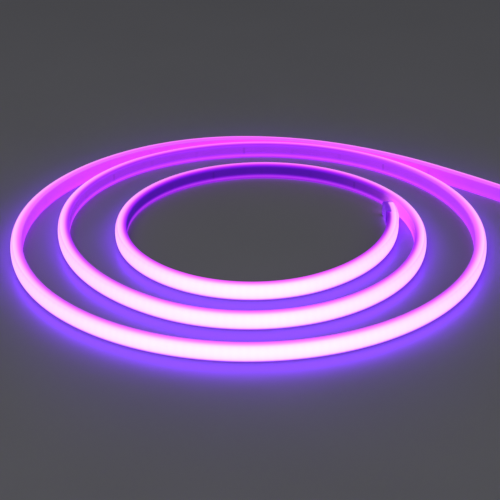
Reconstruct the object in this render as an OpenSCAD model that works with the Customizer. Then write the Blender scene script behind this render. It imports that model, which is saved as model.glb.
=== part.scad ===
// Flexible LED light tube: a D-shaped silicone sleeve with a circuit strip
// inside, standing on its long edge and coiled in three loose turns.
// Origin: centre of the coil on the surface the tube stands on. +Z up.
// The free feed end leaves on the right (+X), the capped end is inside.

/* [Tube section] */
// Height of the tube, from the resting edge to the top edge
tube_h = 12; // [10:0.5:13]
// Depth of the flat part of the top and bottom edges
flat_d = 7.1; // [6.5:0.1:7.5]
// How far the lit face bulges out beyond the flat part
dome_d = 2.1; // [1.2:0.1:2.5]
// Wall thickness of the sleeve
wall = 1; // [0.8:0.1:1.2]
// Rounding of the two back corners
corner_r = 0.9; // [0.5:0.1:1.2]

/* [Coil] */
// Where the outer turn starts at the back of the coil, X and Y
start_xy = [-5.1, 197.4]; // [-10:0.1:200]
// Bend radius of the first twelfth of a turn
first_bend = 173; // [168:1:178]
// Bend radii of the outer turn, first half, one for each sixth of a turn
outer_turn_a = [183, 183, 180]; // [178:1:188]
// Bend radii of the outer turn, second half
outer_turn_b = [185, 166, 176]; // [164:1:188]
// Bend radii of the middle turn, first half
middle_turn_a = [141, 166, 130]; // [128:1:168]
// Bend radii of the middle turn, second half
middle_turn_b = [139, 125, 118]; // [115:1:142]
// Bend radii of the inner turn, first half
inner_turn_a = [111, 107, 100]; // [98:1:113]
// Bend radii of the inner turn: the last sixth, then the free end
inner_turn_b = [126, 100]; // [90:1:130]
// Angle turned by the capped last piece of the tube, in degrees
end_turn = 9; // [7:1:10]
// Bend radii of the feed end, going away from the coil
tail_bends = [225, 335, 1100]; // [200:5:1200]
// Angles turned by the three feed end bends, in degrees
tail_turns = [23, 15, 5]; // [5:1:24]

/* [Flexing] */
// Distance from the first bending place of the inner end to the second
inner_flex = 66; // [50:1:80]
// Slit between neighbouring sections, so that they can turn
slit = 0.9; // [0.8:0.1:1.2]

/* [Circuit strip] */
// Height of the circuit strip
strip_h = 8; // [7:0.5:9]
// Thickness of the circuit strip
strip_t = 0.2; // [0.15:0.05:0.25]
// Distance from one light chip to the next
led_pitch = 6.25; // [6:0.05:7]
// Light chip: depth off the strip, length along it, height
led_size = [0.7, 3.5, 2.8]; // [0.5:0.1:3.6]
// Resistor: depth off the strip, length along it, height
res_size = [0.5, 1.3, 2]; // [0.4:0.1:2.2]
// Light chips fed through one resistor
leds_per_res = 7; // [6:1:8]
// Light chips between two places where the strip may be cut
leds_per_cut = 21; // [14:7:28]
// Side of a solder pad
pad = 1.5; // [1.2:0.1:1.6]

/* [End caps] */
// How far a cap stands proud of the sleeve
cap_proud = 0.8; // [0.6:0.1:1]
// How far the feed cap reaches over the sleeve
cap_over = 12; // [8:1:14]
// Angle turned by the solid tip of the inner end cap, in degrees
tip_turn = 3; // [2:1:4]
// Solid length of the feed cap beyond the sleeve
feed_tip = 12; // [10:1:14]
// Length of the soft boot where the lead leaves the feed cap
boot_len = 10; // [8:1:12]

/* [Lead and plug] */
// Radius of the round lead
lead_r = 2.2; // [2.1:0.1:2.5]
// Radius of one insulated core
core_r = 0.75; // [0.6:0.05:0.75]
// Radius of the lead's natural curl
lead_bend = 55; // [45:1:70]
// Angle through which the lead curls
lead_angle = 56; // [40:1:60]
// Straight lead in front of the plug
lead_straight = 26; // [20:1:40]
// Radius and length of the moulded plug grip
grip = [5, 24]; // [4.5:0.5:28]
// Outer radius of the plug barrel
barrel_r = 2.75; // [2.75:0.05:2.75]
// Bore radius of the plug's centre contact
contact_r = 1.05; // [1.05:0.05:1.25]
// Length of the barrel beyond the grip
barrel_len = 9.5; // [9:0.5:10]

/* [Hidden] */
$fn = 180;
fit = 0.05;                            // gap around parts set into another
over = 1;                              // how far a cut runs past what it cuts
half_slit = slit / 2;
mid_z = tube_h / 2;

// Depths, measured outward from the tube's centre line
back_w = -flat_d / 2;                  // back face
dome_w = flat_d / 2;                   // where the bulge of the lit face starts
cavity_back_w = back_w + wall;
cavity_dome_w = dome_w - 0.5;          // where the cavity's rounded front starts
strip_w = cavity_back_w + 0.02;        // back of the circuit strip
front_w = strip_w + strip_t;           // front of the circuit strip
part_w = front_w + 0.004;              // back of the parts on the strip
lens_w = front_w + led_size[0] + 0.1;  // back of the light core
cavity_corner_r = 0.3;
cap_corner_r = corner_r + 0.3;

// ---- path of the tube ----
// Distances run along the centre line from the start of the outer turn:
// negative in the feed end, positive towards the capped end.
// A place is [[x, y], heading]; a bend is [start, length, radius, centre, heading at its start].
start_heading = 180;
first_turn = 30;
full_turn = 60;                        // angle turned by each bend after the first
bend_radii = concat([first_bend], outer_turn_a, outer_turn_b, middle_turn_a,
                    middle_turn_b, inner_turn_a, inner_turn_b);

function start_of(bend) = bend[0];
function length_of(bend) = bend[1];
function end_of(bend) = start_of(bend) + length_of(bend);
function radius_of(bend) = bend[2];
function centre_of(bend) = bend[3];
function heading_of(bend) = bend[4];

function arc_length(radius, angle) = radius * angle * PI / 180;
function arc_angle(length, radius) = length / radius * 180 / PI;
// Unit vector to the right of a heading, which is outward from the coil.
function outward(heading) = [sin(heading), -cos(heading)];
function place_on(bend, length) =
    let (heading = heading_of(bend) + arc_angle(length, radius_of(bend)))
    [centre_of(bend) + radius_of(bend) * outward(heading), heading];

function turn_of(i) = i == 0 ? first_turn : i < len(bend_radii) - 1 ? full_turn : end_turn;
// Bends from the start of the outer turn to the capped end.
function coil_path(i, distance, point, heading) = i == len(bend_radii) ? [] :
    let (radius = bend_radii[i],
         length = arc_length(radius, turn_of(i)),
         bend = [distance, length, radius, point - radius * outward(heading), heading],
         end = place_on(bend, length))
    concat([bend], coil_path(i + 1, distance + length, end[0], end[1]));
// Bends back from the start of the outer turn to the feed end, listed in path order.
function tail_path(i, distance, point, heading) = i == len(tail_bends) ? [] :
    let (radius = tail_bends[i],
         length = arc_length(radius, tail_turns[i]),
         bend = [distance - length, length, radius, point - radius * outward(heading),
                 heading - tail_turns[i]],
         begin = place_on(bend, 0))
    concat(tail_path(i + 1, distance - length, begin[0], begin[1]), [bend]);

bends = concat(tail_path(0, 0, start_xy, start_heading),
               coil_path(0, 0, start_xy, start_heading));
last_bend = bends[len(bends) - 1];
feed_s = start_of(bends[0]);
end_s = end_of(last_bend);
function bend_index(s, i = 0) =
    i == len(bends) - 1 || s < start_of(bends[i + 1]) ? i : bend_index(s, i + 1);
function place_at(s) = let (bend = bends[bend_index(s)]) place_on(bend, s - start_of(bend));

// The feed end flexes where its bends change radius, the inner end at the
// start of its last full bend and again inner_flex further on.
tail_flex_1 = start_of(bends[2]);
tail_flex_2 = start_of(bends[1]);
inner_flex_1 = start_of(bends[len(bends) - 2]);
inner_flex_2 = inner_flex_1 + inner_flex;

// Sections of the tube from the feed end to the capped end: name, [from, to].
SECTIONS = [
    ["tail_2", [feed_s, tail_flex_2 - half_slit]],
    ["tail_1", [tail_flex_2 + half_slit, tail_flex_1 - half_slit]],
    ["coil", [tail_flex_1 + half_slit, inner_flex_1 - half_slit]],
    ["inner_1", [inner_flex_1 + half_slit, inner_flex_2 - half_slit]],
    ["inner_2", [inner_flex_2 + half_slit, end_s]]];
PER_SECTION = ["sleeve", "light_core", "circuit_strip", "light_chips", "resistors", "solder_pads"];

// A shift made of whole millimetres first and the rest second, so that
// neighbouring bends meet exactly.
module shift(point) {
    x = point[0];
    y = point[1];
    translate([floor(x), floor(y), 0]) translate([x - floor(x), y - floor(y), 0]) children();
}
// The child outline carried along the tube between two distances.
module along(from, to) {
    for (bend = bends) {
        low = max(from, start_of(bend));
        high = min(to, end_of(bend));
        radius = radius_of(bend);
        if (high - low > 0.001)
            shift(centre_of(bend))
                rotate_extrude(angle = arc_angle(high - low, radius),
                               start = heading_of(bend)
                                   + arc_angle(low - start_of(bend), radius) - 90)
                    translate([radius, 0]) children();
    }
}
// The child placed at distance s: X outward from the coil, Y along the tube.
module at_distance(s) {
    place = place_at(s);
    shift(place[0]) rotate([0, 0, place[1] - 90]) children();
}

// ---- outlines: first coordinate outward from the centre line, second up ----
// Flat back with rounded corners, front bulging in half an ellipse.
function outline(back, dome, bulge, bottom, top, corner) = concat(
    [for (i = [0 : 3]) let (t = 180 + 30 * i)
        [back + corner + corner * cos(t), bottom + corner + corner * sin(t)]],
    [for (i = [0 : 12]) let (t = -90 + 180 * i / 12)
        [dome + bulge * cos(t), (bottom + top) / 2 + (top - bottom) / 2 * sin(t)]],
    [for (i = [0 : 3]) let (t = 90 + 30 * i)
        [back + corner + corner * cos(t), top - corner + corner * sin(t)]]);
module tube_outline() polygon(outline(back_w, dome_w, dome_d, 0, tube_h, corner_r));
// The cavity from the given back outward, smaller by gap at its other sides.
module cavity_outline(back, gap)
    polygon(outline(back, cavity_dome_w, dome_w + dome_d - wall - cavity_dome_w - gap,
                    wall + gap, tube_h - wall - gap, cavity_corner_r));
module seal_outline() cavity_outline(cavity_back_w + fit, fit);
module strip_outline() translate([strip_w, mid_z - strip_h / 2]) square([strip_t, strip_h]);
module cap_outline()
    polygon(outline(back_w - cap_proud, dome_w, dome_d + cap_proud,
                    0, tube_h + cap_proud, cap_corner_r));

// ---- parts of a section; colours are [red, green, blue, opacity] ----
feed_clear = 4;                        // sleeve left without strip at the feed end
end_clear = 8;                         // the same at the capped end
feed_unlit = 10;                       // strip without light parts at the feed end
led_margin = 3;                        // least distance from a chip's middle to the span's end
pad_t = 0.15;
pad_inset = 1.3;                       // middle of a pad from the strip's edge

function section(name) = [for (s = SECTIONS) if (s[0] == name) s[1]][0];
function strip_span(name) = let (s = section(name))
    [name == "tail_2" ? s[0] + feed_clear : s[0], name == "inner_2" ? s[1] - end_clear : s[1]];
function lit_span(name) = let (s = strip_span(name))
    [name == "tail_2" ? s[0] + feed_unlit : s[0], s[1]];
function led_s(k) = led_pitch * (k + 0.5);
function leds(name) = let (s = lit_span(name))
    [ceil((s[0] + led_margin) / led_pitch - 0.5) : floor((s[1] - led_margin) / led_pitch - 0.5)];
// Place of chip k in its group; whole groups are added to keep it positive.
function place_in_group(k, group) = (k + 100 * group) % group;
module on_strip(size, z) translate([part_w, -size[1] / 2, z - size[2] / 2]) cube(size);

module sleeve(name) {
    s = section(name);
    color([1, 0.72, 1, 0.55]) along(s[0], s[1])
        difference() { tube_outline(); cavity_outline(cavity_back_w, 0); }
}
module light_core(name) {
    s = lit_span(name);
    color([1, 0.9, 1, 0.8]) along(s[0], s[1]) cavity_outline(lens_w, fit);
}
module circuit_strip(name) {
    s = strip_span(name);
    color("white") along(s[0], s[1]) strip_outline();
}
module light_chips(name) {
    color([1, 0.85, 0.55]) for (k = leds(name))
        at_distance(led_s(k)) on_strip(led_size, mid_z);
}
// Resistors and pads sit halfway between two chips.
module resistors(name) {
    color([0.12, 0.12, 0.12]) for (k = leds(name))
        if (place_in_group(k, leds_per_res) == 3)
            at_distance(led_s(k + 0.5)) on_strip(res_size, mid_z);
}
// Pads come in pairs, more widely spaced in the coil than in the other sections.
module solder_pads(name) {
    color([0.8, 0.5, 0.25]) for (k = leds(name))
        if (name == "coil" ? place_in_group(k, leds_per_cut) == 13
                           : place_in_group(k, leds_per_res) == 1)
            at_distance(led_s(k + 0.5)) for (z = [-1, 1])
                on_strip([pad_t, pad, pad], mid_z + z * (strip_h / 2 - pad_inset));
}

// ---- sealed inner end ----
end_seal_depth = 7.5;

// The cap follows the last bend: a pocket over the sleeve, then a solid tip.
module end_cap() {
    start = start_heading + first_turn + full_turn * (len(bend_radii) - 2) - 90;
    radius = radius_of(last_bend);
    color([0.75, 0.6, 1, 0.6]) shift(centre_of(last_bend)) {
        rotate_extrude(angle = end_turn, start = start) translate([radius, 0])
            difference() { cap_outline(); tube_outline(); }
        rotate_extrude(angle = tip_turn, start = start + end_turn)
            translate([radius, 0]) cap_outline();
    }
}
module end_seal() {
    color([0.9, 0.85, 1, 0.7]) along(end_s - end_seal_depth, end_s - fit) seal_outline();
}

// ---- feed end ----
// Lead axis: straight out of the feed cap, then curling clockwise, then straight again.
lead_w = back_w + 3;                   // lead axis, outward from the tube's centre line
core_offset = 1.05;                    // core axes above and below the lead axis
hole_r = core_r + fit;
root_len = feed_tip + boot_len;
feed_place = place_at(feed_s);
root_heading = feed_place[1] + 180;    // away from the coil
root_point = feed_place[0] + lead_w * outward(feed_place[1]);
curl_point = root_point + (root_len + half_slit) * [cos(root_heading), sin(root_heading)];
curl_centre = curl_point + lead_bend * outward(root_heading);
plug_heading = root_heading - lead_angle;
root = [root_point, root_heading];
plug = [curl_centre - lead_bend * outward(plug_heading), plug_heading];

// Distances out from the end of the sleeve; the cores also run back inside it.
cap_bore_start = 4;
jacket_start = 5;
core_inside = 10;
feed_seal_depth = 3.5;
seal_hole_depth = 5;
boot_r = [4, 3.1];                     // at the cap, at the free end
solder_s = 9;                          // solder joints, inward from the end of the sleeve
solder_r = 0.7;
solder_short = 0.16;                   // taken off the joint's length at the core

jacket_white = [0.95, 0.95, 0.95];
core_black = [0.15, 0.15, 0.15];

// The child on the lead axis at a place: Z pointing away from the coil, X up.
module on_lead(place) translate([place[0][0], place[0][1], mid_z])
    rotate([0, 0, place[1]]) rotate([0, 90, 0]) rotate([0, 0, 180]) children();
// A round bar parallel to the lead axis, raised by offset.
module bar(place, r, from, to, raise = 0)
    on_lead(place) translate([raise, 0, from]) cylinder(r = r, h = to - from);
module core_holes(place, from, to)
    for (z = [-1, 1]) bar(place, hole_r, from, to, z * core_offset);

module feed_cap() {
    color([0.9, 0.9, 0.95]) difference() {
        union() {
            along(feed_s, feed_s + cap_over) difference() { cap_outline(); tube_outline(); }
            at_distance(feed_s) rotate([90, 0, 0]) linear_extrude(height = feed_tip) cap_outline();
        }
        bar(root, lead_r + fit, cap_bore_start, feed_tip + over);
        core_holes(root, -over, cap_bore_start + over);
    }
}
module feed_boot() {
    color([0.85, 0.85, 0.9]) difference() {
        on_lead(root) translate([0, 0, feed_tip])
            cylinder(r1 = boot_r[0], r2 = boot_r[1], h = boot_len);
        bar(root, lead_r + fit, feed_tip - over, root_len + over);
    }
}
module feed_seal() {
    color([0.9, 0.9, 1, 0.7]) difference() {
        along(feed_s + fit, feed_s + feed_seal_depth) seal_outline();
        core_holes(root, -seal_hole_depth, over);
    }
}
// Two round joints from the strip towards the cores.
module feed_solder() {
    color([0.75, 0.75, 0.78]) for (z = [-1, 1])
        at_distance(feed_s + solder_s) translate([part_w, 0, mid_z + z * core_offset])
            rotate([0, 90, 0])
                cylinder(r = solder_r, h = lead_w - core_r - solder_short - front_w);
}
module lead_jacket_root() {
    color(jacket_white) difference() {
        bar(root, lead_r, jacket_start, root_len);
        core_holes(root, jacket_start - over, root_len + over);
    }
}
// The red core is the upper one (side 1), the black core the lower one (side -1).
module core_root(side) bar(root, core_r, -core_inside, root_len, side * core_offset);
module red_core_root() color("red") core_root(1);
module black_core_root() color(core_black) core_root(-1);

// The child outline carried round the curl, half a slit short at both ends.
module curl() {
    trim = arc_angle(half_slit, lead_bend);
    translate([curl_centre[0], curl_centre[1], 0])
        rotate_extrude(angle = lead_angle - 2 * trim, start = plug_heading + 90 + trim)
            translate([lead_bend, 0]) children();
}
module lead_jacket() {
    color(jacket_white) curl() translate([0, mid_z]) difference() {
        circle(r = lead_r, $fn = 64);
        for (z = [-1, 1]) translate([0, z * core_offset]) circle(r = hole_r, $fn = 48);
    }
}
module core_curl(side)
    curl() translate([0, mid_z + side * core_offset]) circle(r = core_r, $fn = 48);
module red_core() color("red") core_curl(1);
module black_core() color(core_black) core_curl(-1);

// ---- plug: distances from the end of the curl ----
grip_back = half_slit + lead_straight;
grip_front = grip_back + grip[1];
barrel_tip = grip_front + barrel_len;
jacket_end = grip_back + 6;
core_end = grip_back + 9;

grip_back_r = 3.2;
grip_taper = 8;                        // length of the tapered back of the grip
groove_count = 5;
groove_start = 10;                     // first groove, from the back of the grip
groove_pitch = 2.4;
groove_w = 1.2;
groove_depth = 0.5;
groove_core_len = 4;                   // length of the cylinder kept inside a groove

neck_r = barrel_r + 0.25;              // thicker neck where the grip holds the barrel
neck_proud = 0.05;                     // neck beyond the front of the grip
metal_t = 0.3;                         // wall of the barrel and of the contact
plug_gap = 0.02;                       // gap between the parts of the plug
// How far each part reaches back from the front of the grip
socket_depth = 8;
neck_depth = 7.9;
insulator_depth = 7.5;
contact_depth = 7;
// How far each part stops short of the barrel's tip
insulator_short = 0.3;
contact_short = 0.5;

// A bore right through the barrel and the parts inside it.
module plug_bore(r) bar(plug, r, grip_front - socket_depth - over, barrel_tip + over);

module lead_jacket_plug() {
    color(jacket_white) difference() {
        bar(plug, lead_r, half_slit, jacket_end);
        core_holes(plug, half_slit - over, jacket_end + over);
    }
}
module core_plug(side) bar(plug, core_r, half_slit, core_end, side * core_offset);
module red_core_plug() color("red") core_plug(1);
module black_core_plug() color(core_black) core_plug(-1);
module grip_groove() difference() {
    cylinder(r = grip[0] + over, h = groove_w);
    translate([0, 0, -over]) cylinder(r = grip[0] - groove_depth, h = groove_core_len);
}
module plug_grip() {
    color([0.2, 0.2, 0.22]) difference() {
        union() {
            on_lead(plug) translate([0, 0, grip_back])
                cylinder(r1 = grip_back_r, r2 = grip[0], h = grip_taper);
            on_lead(plug) translate([0, 0, grip_back + grip_taper])
                cylinder(r = grip[0], h = grip[1] - grip_taper);
        }
        for (i = [0 : groove_count - 1])
            on_lead(plug) translate([0, 0, grip_back + groove_start + groove_pitch * i])
                grip_groove();
        bar(plug, lead_r + fit, grip_back - over, jacket_end + fit);
        core_holes(plug, jacket_end - over, core_end + fit);
        bar(plug, neck_r + plug_gap, grip_front - socket_depth, grip_front + over);
    }
}
module plug_barrel() {
    color([0.8, 0.8, 0.82]) difference() {
        union() {
            bar(plug, neck_r, grip_front - neck_depth, grip_front + neck_proud);
            bar(plug, barrel_r, grip_front - over, barrel_tip);
        }
        plug_bore(barrel_r - metal_t);
    }
}
module plug_insulator() {
    color([0.1, 0.1, 0.1]) difference() {
        bar(plug, barrel_r - metal_t - plug_gap,
            grip_front - insulator_depth, barrel_tip - insulator_short);
        plug_bore(contact_r + metal_t + plug_gap);
    }
}
module plug_contact() {
    color([0.85, 0.7, 0.3]) difference() {
        bar(plug, contact_r + metal_t, grip_front - contact_depth, barrel_tip - contact_short);
        plug_bore(contact_r);
    }
}

sleeve("tail_2");  // sleeve_tail_2
sleeve("tail_1");  // sleeve_tail_1
sleeve("coil");  // sleeve_coil
sleeve("inner_1");  // sleeve_inner_1
sleeve("inner_2");  // sleeve_inner_2
light_core("tail_2");  // light_core_tail_2
light_core("tail_1");  // light_core_tail_1
light_core("coil");  // light_core_coil
light_core("inner_1");  // light_core_inner_1
light_core("inner_2");  // light_core_inner_2
circuit_strip("tail_2");  // circuit_strip_tail_2
circuit_strip("tail_1");  // circuit_strip_tail_1
circuit_strip("coil");  // circuit_strip_coil
circuit_strip("inner_1");  // circuit_strip_inner_1
circuit_strip("inner_2");  // circuit_strip_inner_2
light_chips("tail_2");  // light_chips_tail_2
light_chips("tail_1");  // light_chips_tail_1
light_chips("coil");  // light_chips_coil
light_chips("inner_1");  // light_chips_inner_1
light_chips("inner_2");  // light_chips_inner_2
resistors("tail_2");  // resistors_tail_2
resistors("tail_1");  // resistors_tail_1
resistors("coil");  // resistors_coil
resistors("inner_1");  // resistors_inner_1
resistors("inner_2");  // resistors_inner_2
solder_pads("tail_2");  // solder_pads_tail_2
solder_pads("tail_1");  // solder_pads_tail_1
solder_pads("coil");  // solder_pads_coil
solder_pads("inner_1");  // solder_pads_inner_1
solder_pads("inner_2");  // solder_pads_inner_2
end_cap();
end_seal();
feed_cap();
feed_boot();
feed_seal();
feed_solder();
lead_jacket_root();
red_core_root();
black_core_root();
lead_jacket();
red_core();
black_core();
lead_jacket_plug();
red_core_plug();
black_core_plug();
plug_grip();
plug_barrel();
plug_insulator();
plug_contact();
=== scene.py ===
"""A lit silicone tube wound in a flat spiral, with its end caps, lead and plug.

The spiral lies on the floor (z = 0) round the origin. The tube stands on one edge: its lit
domed face looks outward from the spiral and its flat back looks inward. Lengths are in mm
until they are scaled by MM, except in lights, camera, floor and bump distances (metres).

A place on the tube is given by
  s (or run)  distance along the centre line, growing from the feed end to the inner end
  w           distance outward from the centre line
  z           height above the resting edge
"""
import bpy
import bmesh
import math
from collections import defaultdict, namedtuple
import numpy as np
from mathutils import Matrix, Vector


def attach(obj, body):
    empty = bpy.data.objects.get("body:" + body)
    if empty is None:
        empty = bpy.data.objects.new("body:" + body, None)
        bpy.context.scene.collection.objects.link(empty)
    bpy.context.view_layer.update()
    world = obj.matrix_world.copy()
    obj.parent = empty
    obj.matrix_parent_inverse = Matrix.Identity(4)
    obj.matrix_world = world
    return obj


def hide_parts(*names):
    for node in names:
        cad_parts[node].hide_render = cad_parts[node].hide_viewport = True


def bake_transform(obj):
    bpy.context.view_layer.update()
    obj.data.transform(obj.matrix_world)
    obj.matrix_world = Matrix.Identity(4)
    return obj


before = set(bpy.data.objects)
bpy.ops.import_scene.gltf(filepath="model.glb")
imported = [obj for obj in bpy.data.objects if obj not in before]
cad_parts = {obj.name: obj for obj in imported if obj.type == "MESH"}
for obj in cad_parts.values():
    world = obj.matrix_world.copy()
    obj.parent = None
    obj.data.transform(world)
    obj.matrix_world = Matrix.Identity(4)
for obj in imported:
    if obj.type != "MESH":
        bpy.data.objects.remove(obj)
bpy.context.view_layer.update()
MM = 0.001

# ---------------------------------------------------------------- the tube's section and path
HEIGHT = 12.0
FLAT = 7.1       # width of the flat sides, back to dome
DOME = 2.1       # how far the lit face bulges
CORNER = 0.9     # radius of the back corners
BACK_W, FACE_W = -FLAT / 2, FLAT / 2
AXIS_W = DOME / 2
MID_Z = HEIGHT / 2

START = (-5.1, 197.4, 180.0)     # x, y and heading in degrees where s = 0
# radius and angle in degrees of each arc: the coil from s = 0 inwards ...
COIL_RADII = [173, 183, 183, 180, 185, 166, 176, 141, 166,
              130, 139, 125, 118, 111, 107, 100, 126, 100]
COIL = list(zip(COIL_RADII, [30] + [60] * 16 + [9]))
# ... and the tail from s = 0 out to the feed end
TAIL = [(225, 23), (335, 15), (1100, 5)]

Arc = namedtuple("Arc", "start length radius x y heading")


def left_of(x, y, heading, distance):
    """The point that far to the left of x, y; the heading is in radians."""
    return x - distance * math.sin(heading), y + distance * math.cos(heading)


def trace(bends, sign):
    """Arcs laid from START, forwards (sign 1) or backwards (sign -1)."""
    arcs = []
    x, y, heading = START
    s = 0.0
    for radius, angle in bends:
        centre = left_of(x, y, math.radians(heading), radius)
        length = math.radians(angle) * radius
        next_s, next_heading = s + sign * length, heading + sign * angle
        arcs.append(Arc(min(s, next_s), length, radius, *centre, min(heading, next_heading)))
        s, heading = next_s, next_heading
        x, y = left_of(*centre, math.radians(heading), -radius)
    return arcs


ARCS = trace(TAIL, -1)[::-1] + trace(COIL, 1)
FEED_END = ARCS[0].start
INNER_END = ARCS[-1].start + ARCS[-1].length
# where the bodies of the tube meet
FEED_BEND_1, FEED_BEND_2 = ARCS[2].start, ARCS[1].start
INNER_BEND_1 = ARCS[-2].start
INNER_BEND_2 = INNER_BEND_1 + 66.0


def path_at(s):
    """Centre line at s: x, y, heading in radians. Straight before the feed end."""
    arc = ARCS[0]
    for candidate in ARCS:
        if s >= candidate.start:
            arc = candidate
    bent = max(s - arc.start, 0.0)
    heading = math.radians(arc.heading) + bent / arc.radius
    x, y = left_of(arc.x, arc.y, heading, -arc.radius)
    straight = (s - arc.start) - bent
    return x + straight * math.cos(heading), y + straight * math.sin(heading), heading


def bend_point(s):
    """The middle of the section at s, in metres."""
    x, y = left_of(*path_at(s), -AXIS_W)
    return Vector((x * MM, y * MM, MID_Z * MM))


def run_at(heading):
    """Distance s at which the centre line has this heading in degrees."""
    for arc in ARCS:
        if arc.heading <= heading <= arc.heading + math.degrees(arc.length / arc.radius) + 1e-6:
            return arc.start + math.radians(heading - arc.heading) * arc.radius


# ---------------------------------------------------------------- shader helper
class Shader:
    """Short ways to add nodes to a new material; values may be sockets, numbers or colours."""

    SOCKETS = {"color": "Base Color", "rough": "Roughness", "metal": "Metallic", "ior": "IOR",
               "spec": "Specular IOR Level", "coat": "Coat Weight",
               "coat_rough": "Coat Roughness", "emit": "Emission Color",
               "emit_k": "Emission Strength"}

    def __init__(self, name):
        # a loaded material of the same name would push this one to a numbered name
        old = bpy.data.materials.get(name)
        if old:
            bpy.data.materials.remove(old)
        self.material = bpy.data.materials.new(name)
        self.material.use_nodes = True
        self.tree = self.material.node_tree
        self.bsdf = self.tree.nodes["Principled BSDF"]

    def put(self, socket, value):
        if isinstance(value, bpy.types.NodeSocket):
            self.tree.links.new(value, socket)
            return
        if isinstance(value, tuple):
            value = value + (1.0,)
        socket.default_value = value

    def node(self, kind, inputs=None, **settings):
        node = self.tree.nodes.new(kind)
        for key, value in settings.items():
            setattr(node, key, value)
        for key, value in (inputs or {}).items():
            self.put(node.inputs[key], value)
        return node

    def math(self, operation, first, second=0.0, third=None):
        inputs = {0: first, 1: second}
        if third is not None:
            inputs[2] = third
        return self.node("ShaderNodeMath", inputs, operation=operation).outputs[0]

    def times(self, first, second):
        return self.math("MULTIPLY", first, second)

    def line(self, value, slope, base):
        return self.math("MULTIPLY_ADD", value, slope, base)

    def ramp(self, value, over, to=(0.0, 1.0), smooth=True):
        """Goes from to[0] to to[1] as the value goes from over[0] to over[1]."""
        inputs = {"Value": value, "From Min": over[0], "From Max": over[1],
                  "To Min": to[0], "To Max": to[1]}
        kind = "SMOOTHSTEP" if smooth else "LINEAR"
        node = self.node("ShaderNodeMapRange", inputs, interpolation_type=kind, clamp=True)
        return node.outputs["Result"]

    def mix(self, factor, first, second, blend="MIX"):
        inputs = {0: factor, 6: first, 7: second}
        return self.node("ShaderNodeMix", inputs, data_type="RGBA", blend_type=blend).outputs[2]

    def add(self, first, second):
        return self.mix(1.0, first, second, "ADD")

    def scale(self, color, amount):
        grey = self.node("ShaderNodeCombineColor", {0: amount, 1: amount, 2: amount})
        return self.mix(1.0, color, grey.outputs[0], "MULTIPLY")

    def constant(self, color):
        return self.mix(0.5, color, color)

    def green(self, color, amount):
        """The colour with its green multiplied by amount."""
        parts = self.node("ShaderNodeSeparateColor", {0: color}).outputs
        inputs = {0: parts[0], 1: self.times(parts[1], amount), 2: parts[2]}
        return self.node("ShaderNodeCombineColor", inputs).outputs[0]

    def curve(self, value, span, points):
        """Colour that follows the value through (value, colour) points within the span."""
        node = self.node("ShaderNodeValToRGB")
        node.color_ramp.interpolation = "LINEAR"
        elements = node.color_ramp.elements
        while len(elements) < len(points):
            elements.new(0.5)
        for element, (place, _) in zip(elements, points):
            element.position = (place - span[0]) / (span[1] - span[0])
        for element, (_, color) in zip(elements, points):
            element.color = color + (1.0,)
        self.put(node.inputs[0], self.ramp(value, over=span, smooth=False))
        return node.outputs[0]

    def noise(self, vector, scale, detail=3.0, rough=0.5):
        inputs = {"Vector": vector, "Scale": scale, "Detail": detail, "Roughness": rough}
        return self.node("ShaderNodeTexNoise", inputs).outputs["Fac"]

    def coord(self):
        return self.node("ShaderNodeTexCoord").outputs["Object"]

    def stretched(self, run, w, z, scales):
        """A texture place in the tube's own coordinates."""
        parts = {i: self.times(v, scales[i]) for i, v in enumerate((run, w, z))}
        return self.node("ShaderNodeCombineXYZ", parts).outputs[0]

    def attr(self, name, output="Fac"):
        return self.node("ShaderNodeAttribute", attribute_name=name).outputs[output]

    def camera_ray(self):
        return self.node("ShaderNodeLightPath").outputs["Is Camera Ray"]

    def facing(self):
        """How far the lit side is turned to the viewer: 1 straight at, -1 straight away."""
        outward = self.node("ShaderNodeVectorTransform", {0: self.attr("outward", "Vector")},
                            vector_type="VECTOR", convert_from="OBJECT", convert_to="WORLD")
        incoming = self.node("ShaderNodeNewGeometry").outputs["Incoming"]
        return self.node("ShaderNodeVectorMath", {0: outward.outputs[0], 1: incoming},
                         operation="DOT_PRODUCT").outputs["Value"]

    def bump(self, height, strength, distance):
        inputs = {"Height": height, "Strength": strength, "Distance": distance}
        self.put(self.bsdf.inputs["Normal"],
                 self.node("ShaderNodeBump", inputs).outputs["Normal"])

    def surface(self, **values):
        """Sets the surface's inputs and gives the finished material."""
        for key, value in values.items():
            self.put(self.bsdf.inputs[self.SOCKETS[key]], value)
        return self.material


# ---------------------------------------------------------------- the lit tube's colours
# Edge (flat side) colours against w, seen from the lit side, square on and from behind.
W_SPAN = (-4.5, 4.5)
EDGE_FRONT = [
    (-3.6, (0.56, 0.045, 0.94)), (-3.0, (0.71, 0.07, 0.98)), (-2.0, (0.85, 0.10, 1.0)),
    (-1.0, (0.91, 0.14, 1.0)), (0.0, (0.92, 0.18, 1.0)), (1.0, (1.0, 0.28, 1.0)),
    (2.0, (1.0, 0.40, 1.0)), (3.0, (1.0, 0.52, 1.0)), (3.7, (1.0, 0.57, 1.0))]
EDGE_SIDE = [
    (-3.6, (0.20, 0.003, 0.86)), (-2.5, (0.34, 0.012, 0.92)), (-1.5, (0.56, 0.05, 0.95)),
    (-0.5, (0.80, 0.13, 0.98)), (0.5, (0.95, 0.28, 1.0)), (1.5, (1.0, 0.41, 1.0)),
    (2.5, (1.0, 0.50, 1.0)), (3.7, (1.0, 0.56, 1.0))]
EDGE_REAR = [
    (-3.6, (0.17, 0.0, 0.84)), (-2.5, (0.29, 0.001, 0.90)), (-1.5, (0.43, 0.006, 0.93)),
    (-0.5, (0.58, 0.016, 0.96)), (0.5, (0.72, 0.042, 0.98)), (1.5, (0.85, 0.085, 1.0)),
    (2.5, (0.94, 0.14, 1.0)), (3.7, (1.0, 0.19, 1.0))]
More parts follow.
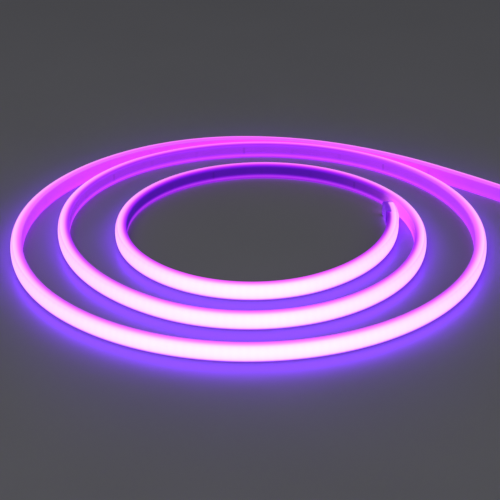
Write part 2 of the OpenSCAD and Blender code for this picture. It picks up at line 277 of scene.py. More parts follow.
# Face and back colours against z.
Z_SPAN = (0.0, 13.0)
FACE = [
    (0.0, (0.22, 0.05, 0.62)), (0.5, (0.42, 0.13, 0.78)), (1.5, (0.84, 0.43, 0.97)),
    (2.2, (1.0, 0.60, 1.0)), (3.0, (1.0, 0.79, 1.0)), (4.5, (1.0, 0.93, 1.0)),
    (6.0, (1.0, 0.97, 1.0)), (7.5, (1.0, 1.0, 1.0)), (9.0, (1.0, 1.0, 1.0)),
    (10.5, (1.0, 0.97, 1.0)), (11.7, (1.0, 0.83, 1.0)), (12.8, (1.0, 0.72, 1.0))]
BACK = [
    (0.0, (0.15, 0.005, 0.48)), (0.8, (0.24, 0.012, 0.64)), (1.4, (0.34, 0.020, 0.78)),
    (2.1, (0.42, 0.034, 0.90)), (3.0, (0.28, 0.012, 0.80)), (4.2, (0.05, 0.0, 0.46)),
    (5.6, (0.006, 0.0, 0.31)), (9.4, (0.008, 0.0, 0.32)), (10.5, (0.03, 0.0, 0.45)),
    (11.5, (0.11, 0.001, 0.65)), (12.6, (0.17, 0.002, 0.84))]
SEALED = (0.085, 0.0, 0.50)        # behind the strip, near the sealed inner end
SOAK = (0.36, 0.030, 0.42)         # light of the next turn in the back
DROWNED = (0.07, 0.004, 0.40)      # the back's low bright line, where that light is strongest
EDGE_SOAK = (0.40, 0.10, 0.06)     # light added to the edge
SPOT = (0.42, 0.085, 0.35)         # light added to the back near the inner end
# light given to the surroundings
GIVEN_FACE = (1.06, 0.07, 5.5)
GIVEN_EDGE = (0.45, 0.02, 1.4)
GIVEN_BACK = (0.01, 0.0, 0.14)
GIVEN_LEAK = (0.2, 0.005, 0.7)     # low on the back
GIVEN_TIP = (2.6, 0.5, 7.0)        # cap beyond the sleeve
FACE_GAIN, EDGE_GAIN = 1.06, 1.04  # brightness of the seen face and edge

CHIP_PITCH = 6.25
PAD_PITCH = 7 * CHIP_PITCH
CUT_PITCH = 21 * CHIP_PITCH
FIRST_CUT = 14 * CHIP_PITCH


def next_turn(mat, run):
    """How much of the next turn's light reaches the back: most outside, none innermost."""
    outer = mat.ramp(run, over=(run_at(440), run_at(540)), to=(1.0, 0.5))
    return mat.times(outer, mat.ramp(run, over=(run_at(810), run_at(885)), to=(1.0, 0.0)))


def seen_face(mat, z, run, view):
    """White-pink looking straight at it, pinker seen aslant, faintly banded by the chips."""
    phase = mat.times(mat.math("SUBTRACT", run, CHIP_PITCH / 2), 2 * math.pi / CHIP_PITCH)
    band = mat.line(mat.math("COSINE", phase), slope=0.025, base=1.0)
    cloud = mat.noise(mat.coord(), scale=14.0, detail=2.0)
    band = mat.times(band, mat.line(cloud, slope=0.06, base=0.97))
    slant = mat.ramp(view, over=(-0.2, 0.9), to=(0.36, 0.855), smooth=False)
    color = mat.green(mat.curve(z, Z_SPAN, FACE), mat.times(slant, band))
    return mat.scale(color, FACE_GAIN)


def seen_edge(mat, w, run, view, near, spot):
    edge = mat.mix(mat.ramp(view, over=(-0.9, 0.0), smooth=False),
                   mat.curve(w, W_SPAN, EDGE_REAR), mat.curve(w, W_SPAN, EDGE_SIDE))
    edge = mat.mix(mat.ramp(view, over=(0.1, 0.85), smooth=False),
                   edge, mat.curve(w, W_SPAN, EDGE_FRONT))
    # the sealed end has no chips, so the part behind the strip goes dim there
    fade = mat.times(mat.ramp(run, over=(INNER_END - 75.0, INNER_END - 12.0)),
                     mat.ramp(w, over=(0.6, -2.6)))
    edge = mat.mix(fade, edge, SEALED)
    # light soaks in over the edge where the next turn is close, and at the inner end
    lift = mat.times(mat.ramp(near, over=(0.5, 1.0)), mat.ramp(view, over=(0.5, -0.3)))
    lift = mat.times(mat.math("MAXIMUM", lift, spot), mat.ramp(w, over=(1.0, -2.6)))
    return mat.scale(mat.mix(lift, edge, mat.add(edge, EDGE_SOAK)), EDGE_GAIN)


def seen_back(mat, z, near, spot):
    most = mat.ramp(near, over=(0.6, 1.0))
    own = mat.curve(z, Z_SPAN, BACK)
    # on the outermost turn the soaked light drowns the bright line near the resting edge
    low = mat.ramp(z, over=(6.0, 3.5), to=(0.0, 0.8))
    drowned = mat.mix(mat.times(most, low), own, DROWNED)
    amount = mat.math("MAXIMUM", most, mat.ramp(z, over=(0.0, 2.4), to=(0.5, 1.0)))
    soaked = mat.add(drowned, mat.scale(mat.constant(SOAK), amount))
    seen = mat.mix(near, own, soaked)
    return mat.mix(spot, seen, mat.add(seen, SPOT))


def given_light(mat, z, face, back):
    leak = mat.ramp(z, over=(3.0, 1.2))
    given = mat.mix(back, GIVEN_EDGE, mat.mix(leak, GIVEN_BACK, GIVEN_LEAK))
    rise = mat.ramp(z, over=(0.4, 7.0), to=(0.16, 1.0))
    return mat.mix(face, given, mat.scale(mat.constant(GIVEN_FACE), rise))


def lit_section(mat, w, z, run, view, near):
    """Emission seen by the camera, emission given to the surroundings, mask of the back."""
    face = mat.ramp(w, over=(FACE_W - 0.1, FACE_W + 0.35))
    back = mat.ramp(w, over=(BACK_W + 0.55, BACK_W + 0.1))
    # the inner end shines on the wall it leans towards
    spot = mat.times(mat.ramp(run, over=(1790.0, 1860.0)), mat.ramp(run, over=(1893.0, 1874.0)))
    seen = mat.mix(back, seen_edge(mat, w, run, view, near, spot),
                   seen_back(mat, z, near, spot))
    seen = mat.mix(face, seen, seen_face(mat, z, run, view))
    return seen, given_light(mat, z, face, back), back


# ---------------------------------------------------------------- materials
def marks(mat, run, offset, pitch, whole, fade):
    """1 at marks set a pitch apart; whole keeps the modulo's input positive."""
    place = mat.math("ADD", mat.math("SUBTRACT", run, offset), whole)
    place = mat.math("SUBTRACT", mat.math("MODULO", place, pitch), pitch / 2)
    return mat.math("SUBTRACT", 1.0, mat.ramp(mat.math("ABSOLUTE", place), over=fade))


def sleeve_material():
    mat = Shader("sleeve_silicone")
    w, z, run = mat.attr("tw"), mat.attr("tz"), mat.attr("run")
    near = next_turn(mat, run)
    seen, given, back = lit_section(mat, w, z, run, mat.facing(), near)
    # faint marks of the cut places and the solder pads, showing through the back
    cuts = marks(mat, run, offset=FIRST_CUT, pitch=CUT_PITCH,
                 whole=CUT_PITCH * 40 + CUT_PITCH / 2, fade=(0.3, 1.3))
    pads = marks(mat, run, offset=PAD_PITCH / 2, pitch=PAD_PITCH,
                 whole=PAD_PITCH * 90, fade=(0.8, 2.2))
    pad_strength, dark_stain, dark_dimming = 0.25, 0.24, -0.17
    pads = mat.times(pads, pad_strength)
    inside = mat.times(mat.ramp(z, over=(2.6, 3.6)), mat.ramp(z, over=(10.0, 9.0)))
    dark = mat.times(mat.times(mat.math("MAXIMUM", cuts, pads), back), inside)
    # cloudy silicone over the opaque strip at the back, clearer towards the face; part of the
    # colour change from back to face is painted glow
    tone = mat.noise(mat.coord(), scale=60.0, detail=4.0)
    clear = mat.ramp(w, over=(-2.0, 1.5))
    # base colours at the back alone, at the back near the next turn, and at the face; their
    # violet and pink tint is painted glow, and the lighter colours near the next turn are
    # painted light from that turn
    deep, pale = [mat.mix(clear, mat.mix(near, alone, lit_by_next_turn), front)
                  for alone, lit_by_next_turn, front in (
                      ((0.60, 0.05, 0.36), (0.74, 0.20, 0.38), (0.74, 0.36, 0.80)),
                      ((0.70, 0.07, 0.44), (0.86, 0.26, 0.46), (0.86, 0.46, 0.90)))]
    stain = (0.20, 0.05, 0.14)
    base = mat.mix(mat.times(dark, dark_stain), mat.mix(tone, deep, pale), stain)
    seen = mat.scale(seen, mat.line(dark, slope=dark_dimming, base=1.0))
    emit = mat.mix(mat.camera_ray(), given, seen)
    # very fine lines left by extrusion run along the tube
    place = mat.stretched(run, w, z, scales=(0.02, 2.6, 2.6))
    lines = mat.noise(place, scale=1.0, detail=4.0, rough=0.6)
    grain_share = 0.4
    grain = mat.times(mat.noise(mat.coord(), scale=900.0, detail=2.0), grain_share)
    mat.bump(mat.math("ADD", lines, grain), strength=0.35, distance=0.00006)
    # only the outer skin glows
    return mat.surface(color=base, rough=mat.ramp(tone, over=(0.3, 0.7), to=(0.36, 0.50)),
                       spec=0.22, emit=mat.scale(emit, mat.attr("shell")), emit_k=1.0)


def cap_material():
    """Clear silicone cap lit by the tube; run is the distance past the cap's mouth."""
    mat = Shader("cap_silicone")
    run, z, w = mat.attr("run"), mat.attr("tz"), mat.attr("tw")
    # the cap stands proud, so its outline is brought back to the tube's for the look-up
    z_shrink = 0.94
    seen, given, _ = lit_section(mat, mat.line(w, slope=0.86, base=0.45),
                                 mat.times(z, z_shrink), INNER_END - 4.0, mat.facing(), 0.0)
    rim = mat.node("ShaderNodeLayerWeight", {"Blend": 0.45}).outputs["Facing"]
    tone = mat.noise(mat.coord(), scale=260.0, detail=4.0)
    # the side behind the strip is a dim violet lobe with brighter edges and streaks
    place = mat.stretched(run, w, z, scales=(0.06, 0.9, 0.25))
    streak = mat.noise(place, scale=1.0, detail=2.0, rough=0.6)
    lobe_middle, lobe_rim, rim_power = (0.070, 0.0, 0.44), (0.26, 0.02, 0.92), 2.2
    lobe = mat.mix(mat.math("POWER", rim, rim_power), lobe_middle, lobe_rim)
    lobe = mat.scale(lobe, mat.line(mat.math("ADD", streak, tone), slope=0.8, base=0.25))
    # past the sleeve's end the light dims
    sleeve_end, dim_face = 15.2, (0.55, 0.06, 0.95)
    past = mat.ramp(run, over=(sleeve_end, sleeve_end + 3.2))
    dim = mat.mix(mat.ramp(w, over=(-1.0, 2.5)), lobe, dim_face)
    seen = mat.mix(mat.ramp(w, over=(-1.0, 0.9)), lobe, seen)
    seen = mat.mix(past, seen, dim)
    tip = mat.scale(mat.constant(GIVEN_TIP), mat.ramp(w, over=(-1.0, 1.0)))
    emit = mat.mix(mat.camera_ray(), mat.mix(past, given, tip), seen)
    # the clear cap's violet base colours are a painted glow tint
    deep, pale = (0.42, 0.10, 0.50), (0.52, 0.15, 0.62)
    mat.bump(mat.noise(mat.coord(), scale=500.0), strength=0.25, distance=0.00008)
    return mat.surface(color=mat.mix(tone, deep, pale), rough=0.25, spec=0.3, coat=0.1,
                       coat_rough=0.12, emit=emit, emit_k=1.0)


def clear_material(name, near, far, tones):
    """Cloudy clear silicone; its glow goes from near to far over 15 mm of run."""
    mat = Shader(name)
    tone = mat.noise(mat.coord(), scale=220.0, detail=4.0)
    glow = mat.scale(mat.mix(mat.ramp(mat.attr("run"), over=(0.0, 15.0)), near, far),
                     mat.line(tone, slope=0.7, base=0.62))
    mat.bump(mat.noise(mat.coord(), scale=500.0), strength=0.3, distance=0.0001)
    return mat.surface(color=mat.mix(tone, *tones), rough=0.24, spec=0.5, coat=0.3,
                       coat_rough=0.15, emit=glow, emit_k=1.0)


def soft_plastic(name, tones, rough, scale=300.0, bump=0.25, distance=0.00005):
    mat = Shader(name)
    fine = mat.noise(mat.coord(), scale=scale, detail=5.0, rough=0.6)
    broad = mat.noise(mat.coord(), scale=scale / 9.0, detail=2.0)
    mat.bump(fine, strength=bump, distance=distance)
    return mat.surface(color=mat.mix(mat.ramp(broad, over=(0.35, 0.65)), *tones),
                       rough=mat.ramp(fine, over=(0.3, 0.7), to=(rough - 0.06, rough + 0.08)))


def metal(name, tones, rough):
    mat = Shader(name)
    tone = mat.noise(mat.coord(), scale=700.0, detail=4.0, rough=0.7)
    mat.bump(tone, strength=0.15, distance=0.00003)
    return mat.surface(color=mat.mix(tone, *tones), metal=1.0,
                       rough=mat.ramp(tone, over=(0.3, 0.7), to=(rough - 0.05, rough + 0.12)))


def glowing(name, tones, glow, strength, rough):
    mat = Shader(name)
    tone = mat.noise(mat.coord(), scale=500.0)
    mat.bump(tone, strength=0.2, distance=0.00004)
    weaker = tuple(channel * 0.85 for channel in glow)
    return mat.surface(color=mat.mix(tone, *tones), rough=rough,
                       emit=mat.mix(tone, glow, weaker), emit_k=strength)


SLEEVE = sleeve_material()
CAP = cap_material()
FEED = clear_material("feed_silicone", near=(0.30, 0.06, 0.45), far=(0.0, 0.0, 0.0),
                      tones=((0.80, 0.79, 0.84), (0.88, 0.87, 0.90)))
CORE = glowing("light_core_silicone", tones=((0.95, 0.8, 0.95), (1.0, 0.9, 1.0)),
               glow=(1.0, 0.5, 1.0), strength=0.6, rough=0.3)
STRIP = soft_plastic("strip_solder_mask", tones=((0.84, 0.84, 0.81), (0.90, 0.90, 0.88)),
                     rough=0.4)
CHIP = glowing("chip_gel", tones=((0.9, 0.8, 0.9), (1.0, 0.9, 1.0)),
               glow=(0.8, 0.25, 1.0), strength=1.5, rough=0.2)
RESISTOR = soft_plastic("resistor_film", tones=((0.03, 0.03, 0.035), (0.06, 0.06, 0.065)),
                        rough=0.35)
PAD = metal("pad_copper", tones=((0.75, 0.42, 0.25), (0.85, 0.55, 0.35)), rough=0.3)
SEAL = clear_material("sealant", near=(0.25, 0.05, 0.4), far=(0.02, 0.0, 0.05),
                      tones=((0.75, 0.70, 0.82), (0.85, 0.80, 0.9)))
SOLDER = metal("solder_tin", tones=((0.62, 0.63, 0.65), (0.75, 0.76, 0.78)), rough=0.3)
JACKET = soft_plastic("jacket_pvc", tones=((0.80, 0.80, 0.82), (0.88, 0.88, 0.89)),
                      rough=0.42, scale=400.0)
RED = soft_plastic("core_red", tones=((0.50, 0.02, 0.015), (0.62, 0.035, 0.03)), rough=0.4)
BLACK = soft_plastic("core_black", tones=((0.012, 0.012, 0.013), (0.025, 0.025, 0.026)),
                     rough=0.4)
GRIP = soft_plastic("grip_pvc", tones=((0.020, 0.020, 0.023), (0.045, 0.045, 0.05)),
                    rough=0.5, scale=500.0, bump=0.5, distance=0.00008)
NICKEL = metal("plug_nickel", tones=((0.70, 0.69, 0.66), (0.80, 0.79, 0.77)), rough=0.18)
INSULATOR = soft_plastic("insulator_pom", tones=((0.02, 0.02, 0.02), (0.04, 0.04, 0.04)),
                         rough=0.35)
BRASS = metal("contact_brass", tones=((0.80, 0.58, 0.26), (0.90, 0.70, 0.36)), rough=0.25)


# ---------------------------------------------------------------- mesh helpers
def set_attribute(mesh, name, values):
    vector = isinstance(values[0], tuple)
    attribute = mesh.attributes.new(name, "FLOAT_VECTOR" if vector else "FLOAT", "POINT")
    flat = np.asarray(values, dtype=np.float32).ravel()
    attribute.data.foreach_set("vector" if vector else "value", flat)


def build(name, verts, faces, material, slot, sharp_deg, body=None, attrs=None):
    """A smooth-shaded object; edges bent by more than sharp_deg stay sharp."""
    mesh = bpy.data.meshes.new(name)
    mesh.from_pydata([tuple(v) for v in verts], [], faces)
    mesh.validate()
    mesh.update()
    for key, values in (attrs or {}).items():
        set_attribute(mesh, key, values)
    bm = bmesh.new()
    bm.from_mesh(mesh)
    bmesh.ops.recalc_face_normals(bm, faces=bm.faces[:])
    for edge in bm.edges:
        if len(edge.link_faces) == 2 and edge.calc_face_angle(0.0) > math.radians(sharp_deg):
            edge.smooth = False
    for face in bm.faces:
        face.smooth = True
    bm.to_mesh(mesh)
    bm.free()
    piece = bpy.data.objects.new(name, mesh)
    bpy.context.scene.collection.objects.link(piece)
    mesh.materials.append(material)
    if body:
        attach(piece, body)
    return piece


def pairs(count, flip=False):
    """Neighbouring indices round a closed ring."""
    for j in range(count):
        k = (j + 1) % count
        yield (k, j) if flip else (j, k)


def band(first, second, count, flip=False):
    """Quads between two rings that start at these vertices."""
    return [(first + j, first + k, second + k, second + j) for j, k in pairs(count, flip)]


def fan(first, centre, count, flip=False):
    return [(first + j, first + k, centre) for j, k in pairs(count, flip)]


def stations(start, end, step):
    count = max(2, int(math.ceil((end - start) / step)))
    return [start + (end - start) * i / count for i in range(count + 1)]


def d_outline(back, front, dome, low, high, corner):
    """Closed D outline as (w, z): flat back with round corners, flat edges, domed face."""
    corner_steps, dome_steps, back_steps, edge_steps = 6, 28, 6, 5
    flat = front - back - corner
    points = []
    for i in range(corner_steps + 1):
        turn = math.radians(180 + 90 * i / corner_steps)
        points.append((back + corner + corner * math.cos(turn),
                       low + corner + corner * math.sin(turn)))
    for i in range(1, edge_steps):
        points.append((back + corner + flat * i / edge_steps, low))
    for i in range(dome_steps + 1):
        turn = -math.pi / 2 + math.pi * i / dome_steps
        points.append((front + dome * math.cos(turn),
                       (low + high) / 2 + (high - low) / 2 * math.sin(turn)))
    for i in range(1, edge_steps):
        points.append((front - flat * i / edge_steps, high))
    for i in range(corner_steps + 1):
        turn = math.radians(90 + 90 * i / corner_steps)
        points.append((back + corner + corner * math.cos(turn),
                       high - corner + corner * math.sin(turn)))
    for i in range(1, back_steps):
        points.append((back, high - corner - (high - low - 2 * corner) * i / back_steps))
    return points


OUTER = d_outline(BACK_W, FACE_W, DOME, 0.0, HEIGHT, CORNER)
INNER = d_outline(BACK_W + 1.0, FACE_W - 0.5, DOME - 0.5, 1.0, HEIGHT - 1.0, 0.35)
COUNT = len(OUTER)


class TubeMesh:
    """Points set on the tube's path, with the attributes its materials read."""

    def __init__(self):
        self.verts, self.faces = [], []
        self.attrs = defaultdict(list)

    def ring(self, s, outline, run, shell=None):
        """Adds an outline of (w, z) points at s and gives the index of its first vertex."""
        x, y, heading = path_at(s)
        outward = (math.sin(heading), -math.cos(heading), 0.0)
        first = len(self.verts)
        for w, z in outline:
            self.verts.append(((x + w * outward[0]) * MM, (y + w * outward[1]) * MM, z * MM))
            self.attrs["run"].append(run)
            self.attrs["tw"].append(w)
            self.attrs["tz"].append(z)
            if shell is not None:
                self.attrs["shell"].append(shell)
            self.attrs["outward"].append(outward)
        return first


# ---------------------------------------------------------------- sleeve
def sleeve_piece(name, start, end):
    """A length of the hollow sleeve; shell is 1 on its outside and 0 in its bore."""
    tube = TubeMesh()
    rings = []
    for s in stations(start, end, step=1.8):
        rings.append((tube.ring(s, OUTER, s, shell=1.0), tube.ring(s, INNER, s, shell=0.0)))
    for (out_a, in_a), (out_b, in_b) in zip(rings, rings[1:]):
        for j, k in pairs(COUNT):
            tube.faces.append((out_a + j, out_a + k, out_b + k, out_b + j))
            tube.faces.append((in_a + j, in_b + j, in_b + k, in_a + k))
    tube.faces += [quad[::-1] for quad in band(*rings[0], COUNT)]
    tube.faces += band(*rings[-1], COUNT)
    return build(name, tube.verts, tube.faces, SLEEVE, "sleeve", 50, attrs=tube.attrs)


REACH = 16.0     # distance either side of a bend at which its two points are taken
OVERLAP = 24.0   # how far a piece that holds a bend runs past the bend
FEED_MIDDLE = (FEED_BEND_1 + FEED_BEND_2) / 2
INNER_MIDDLE = (INNER_BEND_1 + INNER_BEND_2) / 2
# name, start and end, bodies, place of the bend and reach towards the second body, replaced
SLEEVE_PIECES = [
    ("sleeve_main", FEED_BEND_1 + OVERLAP, INNER_BEND_1 - OVERLAP,
     ["coil"], None, "sleeve_coil"),
    ("sleeve_feed_a", FEED_MIDDLE, FEED_BEND_1 + OVERLAP,
     ["coil", "feed_flex_1"], (FEED_BEND_1, -REACH), "sleeve_tail_1"),
    ("sleeve_feed_b", FEED_BEND_2 - OVERLAP, FEED_MIDDLE,
     ["feed_flex_1", "feed_flex_2"], (FEED_BEND_2, -REACH), None),
    ("sleeve_feed_end", FEED_END, FEED_BEND_2 - OVERLAP,
     ["feed_flex_2"], None, "sleeve_tail_2"),
    ("sleeve_inner_a", INNER_BEND_1 - OVERLAP, INNER_MIDDLE,
     ["coil", "inner_flex_1"], (INNER_BEND_1, REACH), "sleeve_inner_1"),
    ("sleeve_inner_b", INNER_MIDDLE, INNER_BEND_2 + OVERLAP,
     ["inner_flex_1", "inner_flex_2"], (INNER_BEND_2, REACH), None),
    ("sleeve_inner_end", INNER_BEND_2 + OVERLAP, INNER_END,
     ["inner_flex_2"], None, "sleeve_inner_2"),
]
for name, start, end, bodies, bend, replaced in SLEEVE_PIECES:
    piece = sleeve_piece(name, start, end)
    if bend:
        place, reach = bend
        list(bodies)
        bend_point(place - reach)
        bend_point(place + reach)
        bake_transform(piece)
    else:
        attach(piece, bodies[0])
    if replaced:
        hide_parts(replaced)


# ---------------------------------------------------------------- moulded caps
PROUD = 0.8             # how far a cap stands out from the sleeve
LIP = 0.45              # radius of the rounded mouth
WAIST = (0.22, 3.0)     # depth and half-length of the dip at the sleeve's end
TIP_BULGE = 0.12


def cap_outline(shrink):
    grow = PROUD - shrink
    return d_outline(BACK_W - grow, FACE_W, DOME + grow, max(0.0, shrink * 0.8),
                     HEIGHT + grow, max(0.35, CORNER + 0.3 + grow * 0.4))


def cap_profile(length, pocket, tip_radius):
    """(distance past the mouth, shrink) of each ring: lip, waisted body, rounded tip."""
    rings = []
    for i in range(6):
        turn = math.pi / 2 * i / 5
        rings.append((LIP * (1 - math.cos(turn)), LIP * (1 - math.sin(turn))))
    distance = LIP
    while distance + 1.0 < length - tip_radius:
        distance += 1.0
        from_waist = (distance - pocket) / WAIST[1]
        rings.append((distance, WAIST[0] * math.exp(-from_waist * from_waist)))
    for i in range(9):
        turn = math.pi / 2 * i / 8
        rings.append((length - tip_radius + tip_radius * math.sin(turn),
                      tip_radius * (1 - math.cos(turn))))
    return rings


def cap_piece(name, mouth, stop, tip, tip_radius, material, body, slot):
    """A cap over the sleeve from mouth to stop, solid on to tip; s may run either way."""
    sign = 1.0 if tip > mouth else -1.0
    length, pocket = abs(tip - mouth), abs(stop - mouth)
    tube = TubeMesh()

    def ring(distance, outline):
        return tube.ring(mouth + sign * distance, outline, distance)

    profile = [(d, cap_outline(shrink)) for d, shrink in cap_profile(length, pocket, tip_radius)]
    rings = [ring(d, outline) for d, outline in profile]
    for first, second in zip(rings, rings[1:]):
        tube.faces += band(first, second, COUNT)
    # slightly bulging tip face
    rim = profile[-1][1]
    middle_w = sum(w for w, _ in rim) / COUNT
    middle_z = sum(z for _, z in rim) / COUNT
    last = rings[-1]
    for share in (0.66, 0.33):
        smaller = [(middle_w + (w - middle_w) * share, middle_z + (z - middle_z) * share)
                   for w, z in rim]
        inner = ring(length + TIP_BULGE * (1 - share), smaller)
        tube.faces += band(last, inner, COUNT)
        last = inner
    tube.faces += fan(last, ring(length + TIP_BULGE, [(middle_w, middle_z)]), COUNT)
    # mouth ring and the pocket that holds the sleeve
    entry = ring(0.02, OUTER)
    floor_rim = ring(pocket, OUTER)
    for quads in zip(band(rings[0], entry, COUNT, flip=True),
                     band(entry, floor_rim, COUNT, flip=True)):
        tube.faces += quads
    tube.faces += fan(floor_rim, ring(pocket, [(0.8, MID_Z)]), COUNT, flip=True)
    return build(name, tube.verts, tube.faces, material, slot, 60, body, tube.attrs)


piece = cap_piece("end_cap_moulded", mouth=INNER_END - 15.7, stop=INNER_END, tip=INNER_END + 5.2,
                  tip_radius=2.6, material=CAP, body="inner_flex_2", slot="end_cap")
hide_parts("end_cap")
piece = cap_piece("feed_cap_moulded", mouth=FEED_END + 12, stop=FEED_END, tip=FEED_END - 12,
                  tip_radius=1.6, material=FEED, body="feed_flex_2", slot="feed_cap")
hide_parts("feed_cap")

# ---------------------------------------------------------------- the lead's path
# Straight out of the feed end, then a bend to the right, then straight to the plug.
GAP = 0.45
ROOT = 22.0                      # from the sleeve's end to the boot's mouth
LEAD_BEND = 55.0                 # radius
LEAD_TURN = math.radians(56)
STRAIGHT = 26.0                  # from the bend to the plug
BEND_START = ROOT + GAP
BEND_LENGTH = LEAD_BEND * LEAD_TURN
BEND_END = BEND_START + BEND_LENGTH
LEAD_W = BACK_W + 3.0


def direction(heading):
    return Vector((math.cos(heading), math.sin(heading), 0))


feed_x, feed_y, feed_heading = path_at(FEED_END)
HEADING_1 = feed_heading + math.pi
HEADING_2 = HEADING_1 - LEAD_TURN
LEAD_START = Vector((*left_of(feed_x, feed_y, feed_heading, -LEAD_W), MID_Z))
BEND_FROM = LEAD_START + direction(HEADING_1) * BEND_START
CENTRE = Vector((*left_of(BEND_FROM.x, BEND_FROM.y, HEADING_1, -LEAD_BEND), MID_Z))


def on_bend(heading):
    return Vector((*left_of(CENTRE.x, CENTRE.y, heading, LEAD_BEND), MID_Z))


def lead_at(distance):
    """Point and direction on the lead's axis, that far from the end of the sleeve."""
    if distance <= BEND_START:
        return LEAD_START + direction(HEADING_1) * distance, direction(HEADING_1)
    distance -= BEND_START
    if distance <= BEND_LENGTH:
        heading = HEADING_1 - distance / LEAD_BEND
        return on_bend(heading), direction(heading)
    ahead = direction(HEADING_2)
    return on_bend(HEADING_2) + ahead * (distance - BEND_LENGTH), ahead


def turned(name, rings, material, slot, segments, start=0.0, body=None, hollow=False,
           sharp_deg=40):
    """A round piece along the lead: rings are (distance past start, radius).

    A hollow piece joins its last ring to its first; any other has flat ends.
    """
    verts, faces = [], []
    for distance, radius in rings:
        centre, ahead = lead_at(start + distance)
        side = Vector((-ahead.y, ahead.x, 0))
        up = Vector((0, 0, 1))
        for j in range(segments):
            turn = 2 * math.pi * j / segments
            point = centre + side * (radius * math.cos(turn)) + up * (radius * math.sin(turn))
            verts.append(point * MM)
    last = (len(rings) - 1) * segments
    for first in range(0, last, segments):
        faces += band(first, first + segments, segments)
    if hollow:
        faces += band(last, 0, segments)
    else:
        faces.append(tuple(range(segments))[::-1])
        faces.append(tuple(range(last, last + segments)))
    return build(name, verts, faces, material, slot, sharp_deg, body)


# ---------------------------------------------------------------- lead
def cable(name, start, end):
    rings = [(distance, 2.2) for distance in stations(start, end, step=1.0)]
    return turned(name, rings, JACKET, "lead_jacket", segments=32)


def lead_point(distance):
    return lead_at(distance)[0] * MM


BEND_MIDDLE = (BEND_START + BEND_END) / 2
piece = cable("lead_jacket_a", 5.0, BEND_MIDDLE)
lead_point(BEND_START - 5)
lead_point(BEND_START + 7)
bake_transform(piece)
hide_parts("lead_jacket_root")
piece = cable("lead_jacket_b", BEND_MIDDLE, BEND_END + STRAIGHT + 6)
lead_point(BEND_END - 8)
lead_point(BEND_END + 8)
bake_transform(piece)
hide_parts("lead_jacket", "lead_jacket_plug")


# ---------------------------------------------------------------- boot
def grooves(count, first, pitch, radius, taper, profile):
    """Repeats a profile of (distance, radius) offsets; radius drops by taper each time."""
    return [(first + i * pitch + along, radius - i * taper + out)
            for i in range(count) for along, out in profile]


# three flexing grooves and a rounded mouth
BOOT_GROOVE = [(0.0, 0.0), (0.15, -0.1), (0.3, -0.7), (0.9, -0.75), (1.05, -0.2), (1.2, -0.1)]
rings = [(11.4, 2.3), (11.4, 4.3), (12.4, 4.25)]
rings += grooves(3, first=13.4, pitch=2.4, radius=4.0, taper=0.28, profile=BOOT_GROOVE)
rings += [(20.8, 3.25), (21.5, 3.1), (21.85, 2.85), (ROOT, 2.5), (21.7, 2.27), (14.0, 2.25)]
piece = turned("feed_boot_moulded", rings, FEED, "feed_cap", segments=48, body="feed_flex_2",
               hollow=True)
# a run past the reach of the glow keeps the boot dark
set_attribute(piece.data, "run", [20.0] * len(piece.data.vertices))
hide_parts("feed_boot")

# ---------------------------------------------------------------- plug
PLUG = {"start": BEND_END + GAP + STRAIGHT, "body": "plug_end"}
GRIP_END = 24.0
TIP = GRIP_END + 9.5

# grip: tapered tail, five grooves, and a socket for the barrel
GRIP_RADIUS = 5.0
GRIP_GROOVE = [(-0.15, 0.0), (0.0, -0.07), (0.12, -0.45), (0.6, -0.5), (1.08, -0.45),
               (1.2, -0.07), (1.35, 0.0)]
rings = [(5.6, 2.3), (0.3, 2.3), (0.0, 2.6), (0.05, 3.0), (0.5, 3.3)]
for i in range(1, 9):
    share = i / 8
    rings.append((0.5 + 7.3 * share, 3.3 + 1.7 * math.sin(share * math.pi / 2)))
rings += grooves(5, first=10.0, pitch=2.4, radius=GRIP_RADIUS, taper=0.0, profile=GRIP_GROOVE)
rings += [(GRIP_END - 0.8, GRIP_RADIUS), (GRIP_END - 0.3, 4.85), (GRIP_END - 0.05, 4.5),
          (GRIP_END, 4.1), (GRIP_END, 3.12), (GRIP_END - 0.2, 3.02), (16.2, 3.02)]
piece = turned("plug_grip_moulded", rings, GRIP, "plug_grip", segments=72, **PLUG)
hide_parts("plug_grip")

# barrel: thin nickel shell with a shallow groove and a chamfered mouth
rings = [(16.3, 2.45), (16.3, 3.0), (23.5, 3.0), (23.6, 2.75), (24.2, 2.75),
         (TIP - 1.6, 2.75), (TIP - 1.5, 2.70), (TIP - 1.3, 2.70), (TIP - 1.2, 2.75),
         (TIP - 0.35, 2.75), (TIP - 0.1, 2.68), (TIP, 2.58), (TIP - 0.05, 2.48),
         (TIP - 0.3, 2.45)]
piece = turned("plug_barrel_shell", rings, NICKEL, "plug_metal", segments=64, hollow=True,
               sharp_deg=50, **PLUG)
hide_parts("plug_barrel")

rings = [(16.5, 1.4), (16.5, 2.42), (TIP - 0.55, 2.42), (TIP - 0.32, 2.30), (TIP - 0.3, 1.6),
         (TIP - 0.5, 1.4)]
piece = turned("plug_insulator_ring", rings, INSULATOR, "plug_insulator", segments=48,
               hollow=True, **PLUG)
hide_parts("plug_insulator")

rings = [(17.0, 1.05), (17.0, 1.34), (TIP - 0.9, 1.34), (TIP - 0.55, 1.30), (TIP - 0.5, 1.2),
         (TIP - 0.7, 1.05)]
piece = turned("plug_contact_sleeve", rings, BRASS, "plug_contact", segments=48,
               hollow=True, **PLUG)
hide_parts("plug_contact")

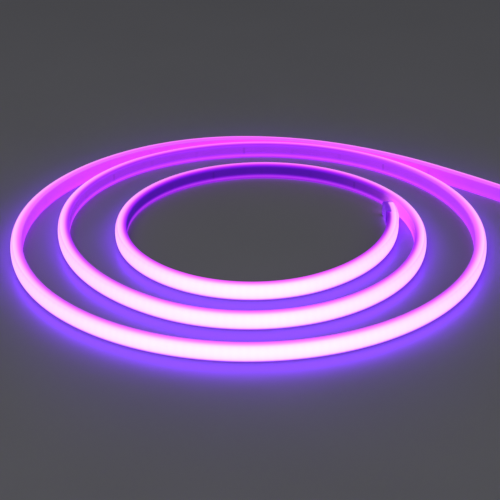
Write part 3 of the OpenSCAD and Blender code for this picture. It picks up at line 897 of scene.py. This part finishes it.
# ---------------------------------------------------------------- CAD parts kept inside
INSIDE = {"light_core": CORE, "circuit_strip": STRIP, "light_chips": CHIP,
          "resistors": RESISTOR, "solder_pads": PAD, "end_seal": SEAL, "feed_seal": SEAL,
          "feed_solder": SOLDER, "red_core": RED, "black_core": BLACK}
for name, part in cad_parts.items():
    for prefix, material in INSIDE.items():
        if name.startswith(prefix):
            part.data.materials.clear()
            part.data.materials.append(material)


# ---------------------------------------------------------------- floor, lights, camera (metres)
def floor_material():
    mat = Shader("floor_pale")
    grain = mat.noise(mat.coord(), scale=9.0, detail=4.0)
    deep, pale = (0.57, 0.57, 0.61), (0.60, 0.60, 0.64)
    return mat.surface(color=mat.mix(grain, deep, pale), spec=1.0, ior=1.9,
                       rough=mat.ramp(grain, over=(0.3, 0.7), to=(0.36, 0.42)))


def aim_at_origin(name, data, location):
    """Adds a light or camera that looks at the origin."""
    thing = bpy.data.objects.new(name, data)
    thing.location = location
    thing.rotation_euler = (-Vector(location)).to_track_quat("-Z", "Y").to_euler()
    bpy.context.scene.collection.objects.link(thing)
    return thing


def area_light(name, location, side, power, color):
    light = bpy.data.lights.new(name, "AREA")
    light.shape = "RECTANGLE"
    light.size = light.size_y = side
    light.energy = power
    light.color = color
    aim_at_origin(name, light, location)


bpy.ops.mesh.primitive_plane_add(size=6.0, location=(0, 0, -0.00003))
floor = bpy.context.object
floor.name = "floor"
floor.data.materials.append(floor_material())

area_light("soft_top", location=(-0.5, -0.4, 1.9), side=1.8, power=4.6, color=(1.0, 0.98, 1.0))
area_light("soft_side", location=(1.6, -1.0, 1.1), side=1.2, power=1.6, color=(0.95, 0.96, 1.0))

WORLD_COLOR, WORLD_STRENGTH = (0.75, 0.76, 0.82, 1), 0.05
world = bpy.data.worlds.new("studio")
bpy.context.scene.world = world
world.use_nodes = True
background = world.node_tree.nodes["Background"]
background.inputs[0].default_value = WORLD_COLOR
background.inputs[1].default_value = WORLD_STRENGTH

ELEVATION, DISTANCE = math.radians(27.02), 1.2602
camera = bpy.data.cameras.new("camera")
camera.sensor_width = 36.0
camera.lens = 115.2
camera.clip_start = 0.01
bpy.context.scene.camera = aim_at_origin(
    "camera", camera, (0, -DISTANCE * math.cos(ELEVATION), DISTANCE * math.sin(ELEVATION)))
bpy.context.scene.view_settings.view_transform = "Standard"
